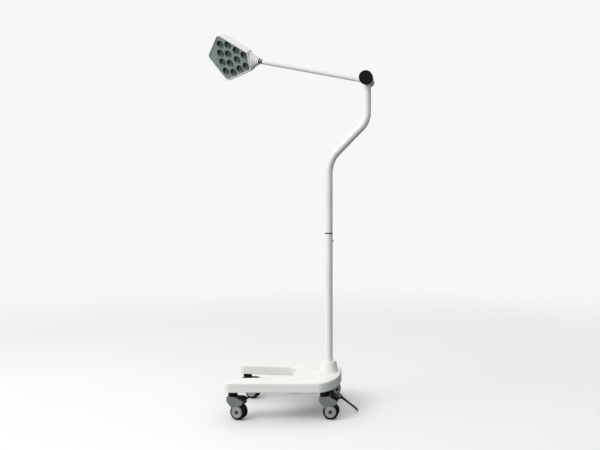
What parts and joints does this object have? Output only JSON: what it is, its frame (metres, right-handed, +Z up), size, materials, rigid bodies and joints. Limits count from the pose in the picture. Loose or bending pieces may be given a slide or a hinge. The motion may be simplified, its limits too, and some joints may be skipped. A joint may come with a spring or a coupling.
{
  "type": "examination lamp",
  "caption": "Mobile examination lamp: U-shaped base on braked castors, gooseneck mast, clamped arm and a five-sided LED head on a ball joint.",
  "frame": {"origin": "on the floor, in the middle of the lamp's bounding box measured without its mains lead", "axes": "+Z up; -X is the front, where the legs of the base and the lamp head point; +Y is the side the arm is clamped on"},
  "size_m": [0.8838, 0.6072, 1.9118],
  "materials": {
    "white_moulding": "satin off-white moulded plastic",
    "white_paint": "semi-gloss white powder coat",
    "plated_steel": "zinc plated",
    "grey_plastic": "satin grey nylon",
    "black_plastic": "satin black",
    "tyre_rubber": "smooth solid rubber",
    "cord_rubber": "matt sheath",
    "lens_sheet": "clear moulded lens sheet",
    "circuit_board": "solder mask"
  },
  "bodies": {
    "base": {"base_shell": "white_moulding", "base_underside_cover": "plated_steel", "ballast_plate": "plated_steel", "column_flange": "plated_steel", "led_driver_box": "grey_plastic", "column_collar": "white_moulding", "lower_pole": "white_paint", "mast_ring": "black_plastic", "mast_clamp_screw": "plated_steel", "cord_gland": "black_plastic", "castor_front_left_cup": "black_plastic", "castor_rear_left_cup": "black_plastic", "castor_front_right_cup": "black_plastic", "castor_rear_right_cup": "black_plastic", "power_cord": "cord_rubber", "power_cord_tail": "cord_rubber", "power_cord_coil": "cord_rubber", "power_plug": "black_plastic"},
    "castor_front_left": {"castor_front_left_fork": "grey_plastic", "castor_front_left_axle": "black_plastic"},
    "wheel_front_left": {"castor_front_left_tyre": "tyre_rubber", "castor_front_left_hub": "grey_plastic"},
    "brake_front_left": {"castor_front_left_pedal": "black_plastic"},
    "castor_rear_left": {"castor_rear_left_fork": "grey_plastic", "castor_rear_left_axle": "black_plastic"},
    "wheel_rear_left": {"castor_rear_left_tyre": "tyre_rubber", "castor_rear_left_hub": "grey_plastic"},
    "brake_rear_left": {"castor_rear_left_pedal": "black_plastic"},
    "castor_front_right": {"castor_front_right_fork": "grey_plastic", "castor_front_right_axle": "black_plastic"},
    "wheel_front_right": {"castor_front_right_tyre": "tyre_rubber", "castor_front_right_hub": "grey_plastic"},
    "brake_front_right": {"castor_front_right_pedal": "black_plastic"},
    "castor_rear_right": {"castor_rear_right_fork": "grey_plastic", "castor_rear_right_axle": "black_plastic"},
    "wheel_rear_right": {"castor_rear_right_tyre": "tyre_rubber", "castor_rear_right_hub": "grey_plastic"},
    "brake_rear_right": {"castor_rear_right_pedal": "black_plastic"},
    "mast": {"upper_pole": "white_paint", "mast_spigot": "plated_steel", "elbow_yoke": "white_paint", "elbow_friction_washer": "black_plastic", "elbow_spacer": "plated_steel", "elbow_bolt": "plated_steel"},
    "knob": {"elbow_knob": "black_plastic"},
    "arm": {"arm_knuckle": "white_paint", "elbow_cap": "white_paint", "arm_tube": "white_paint", "arm_bush": "black_plastic", "wrist_ring": "black_plastic"},
    "wrist_stem": {"wrist_ball": "plated_steel"},
    "wrist_socket": {"wrist_cup": "black_plastic"},
    "head": {"head_neck": "white_moulding", "head_housing": "white_moulding", "head_bezel": "white_moulding", "lens_array": "lens_sheet", "led_board": "circuit_board"},
    "switch": {"power_switch": "black_plastic"}
  },
  "joints": [
    {"name": "castor_front_left_swivel", "type": "hinge", "parent": "base", "child": "castor_front_left", "pos_m": [-0.23, -0.199, 0.07], "axis": [0, 0, 1], "continuous": true},
    {"name": "wheel_front_left_spin", "type": "hinge", "parent": "castor_front_left", "child": "wheel_front_left", "pos_m": [-0.19957, -0.20889, 0.0375], "axis": [0.309, 0.9511, 0], "continuous": true},
    {"name": "brake_front_left_press", "type": "hinge", "parent": "castor_front_left", "child": "brake_front_left", "pos_m": [-0.19386, -0.21074, 0.092], "axis": [0.309, 0.9511, 0], "range_deg": [0, 8]},
    {"name": "castor_rear_left_swivel", "type": "hinge", "parent": "base", "child": "castor_rear_left", "pos_m": [0.204, -0.199, 0.07], "axis": [0, 0, 1], "continuous": true},
    {"name": "wheel_rear_left_spin", "type": "hinge", "parent": "castor_rear_left", "child": "wheel_rear_left", "pos_m": [0.23583, -0.20234, 0.0375], "axis": [0.1045, 0.9945, 0], "continuous": true},
    {"name": "brake_rear_left_press", "type": "hinge", "parent": "castor_rear_left", "child": "brake_rear_left", "pos_m": [0.24179, -0.20297, 0.092], "axis": [0.1045, 0.9945, 0], "range_deg": [0, 8]},
    {"name": "castor_front_right_swivel", "type": "hinge", "parent": "base", "child": "castor_front_right", "pos_m": [-0.23, 0.169, 0.07], "axis": [0, 0, 1], "continuous": true},
    {"name": "wheel_front_right_spin", "type": "hinge", "parent": "castor_front_right", "child": "wheel_front_right", "pos_m": [-0.19957, 0.15911, 0.0375], "axis": [0.309, 0.9511, 0], "continuous": true},
    {"name": "brake_front_right_press", "type": "hinge", "parent": "castor_front_right", "child": "brake_front_right", "pos_m": [-0.19386, 0.15726, 0.092], "axis": [0.309, 0.9511, 0], "range_deg": [0, 8]},
    {"name": "castor_rear_right_swivel", "type": "hinge", "parent": "base", "child": "castor_rear_right", "pos_m": [0.204, 0.169, 0.07], "axis": [0, 0, 1], "continuous": true},
    {"name": "wheel_rear_right_spin", "type": "hinge", "parent": "castor_rear_right", "child": "wheel_rear_right", "pos_m": [0.22457, 0.19351, 0.0375], "axis": [-0.766, 0.6428, 0], "continuous": true},
    {"name": "brake_rear_right_press", "type": "hinge", "parent": "castor_rear_right", "child": "brake_rear_right", "pos_m": [0.22843, 0.19811, 0.092], "axis": [-0.766, 0.6428, 0], "range_deg": [0, 8]},
    {"name": "mast_swivel", "type": "hinge", "parent": "base", "child": "mast", "pos_m": [0.212, -0.015, 0.873], "axis": [0, 0, 1], "range_deg": [-170, 170]},
    {"name": "elbow_tilt", "type": "hinge", "parent": "mast", "child": "arm", "pos_m": [0.40529, -0.04079, 1.64], "axis": [0.1323, 0.9912, 0], "range_deg": [-56, 38]},
    {"name": "knob_turn", "type": "hinge", "parent": "mast", "child": "knob", "pos_m": [0.40529, -0.04079, 1.64], "axis": [-0.1323, -0.9912, 0], "range_deg": [0, 270]},
    {"name": "wrist_roll", "type": "hinge", "parent": "arm", "child": "wrist_stem", "pos_m": [-0.15201, 0.07523, 1.75861], "axis": [-0.9703, 0.1295, 0.2045], "range_deg": [-170, 170]},
    {"name": "wrist_bend", "type": "hinge", "parent": "wrist_stem", "child": "wrist_socket", "pos_m": [-0.15201, 0.07523, 1.75861], "axis": [0.2027, -0.027, 0.9789], "range_deg": [-20, 47]},
    {"name": "head_roll", "type": "hinge", "parent": "wrist_socket", "child": "head", "pos_m": [-0.15201, 0.07523, 1.75861], "axis": [-0.9113, 0.3605, 0.1987], "range_deg": [-170, 170]},
    {"name": "switch_rock", "type": "hinge", "parent": "head", "child": "switch", "pos_m": [-0.22348, 0.11825, 1.78555], "axis": [-0.0687, -0.609, 0.7902], "range_deg": [0, 12]}
  ]
}
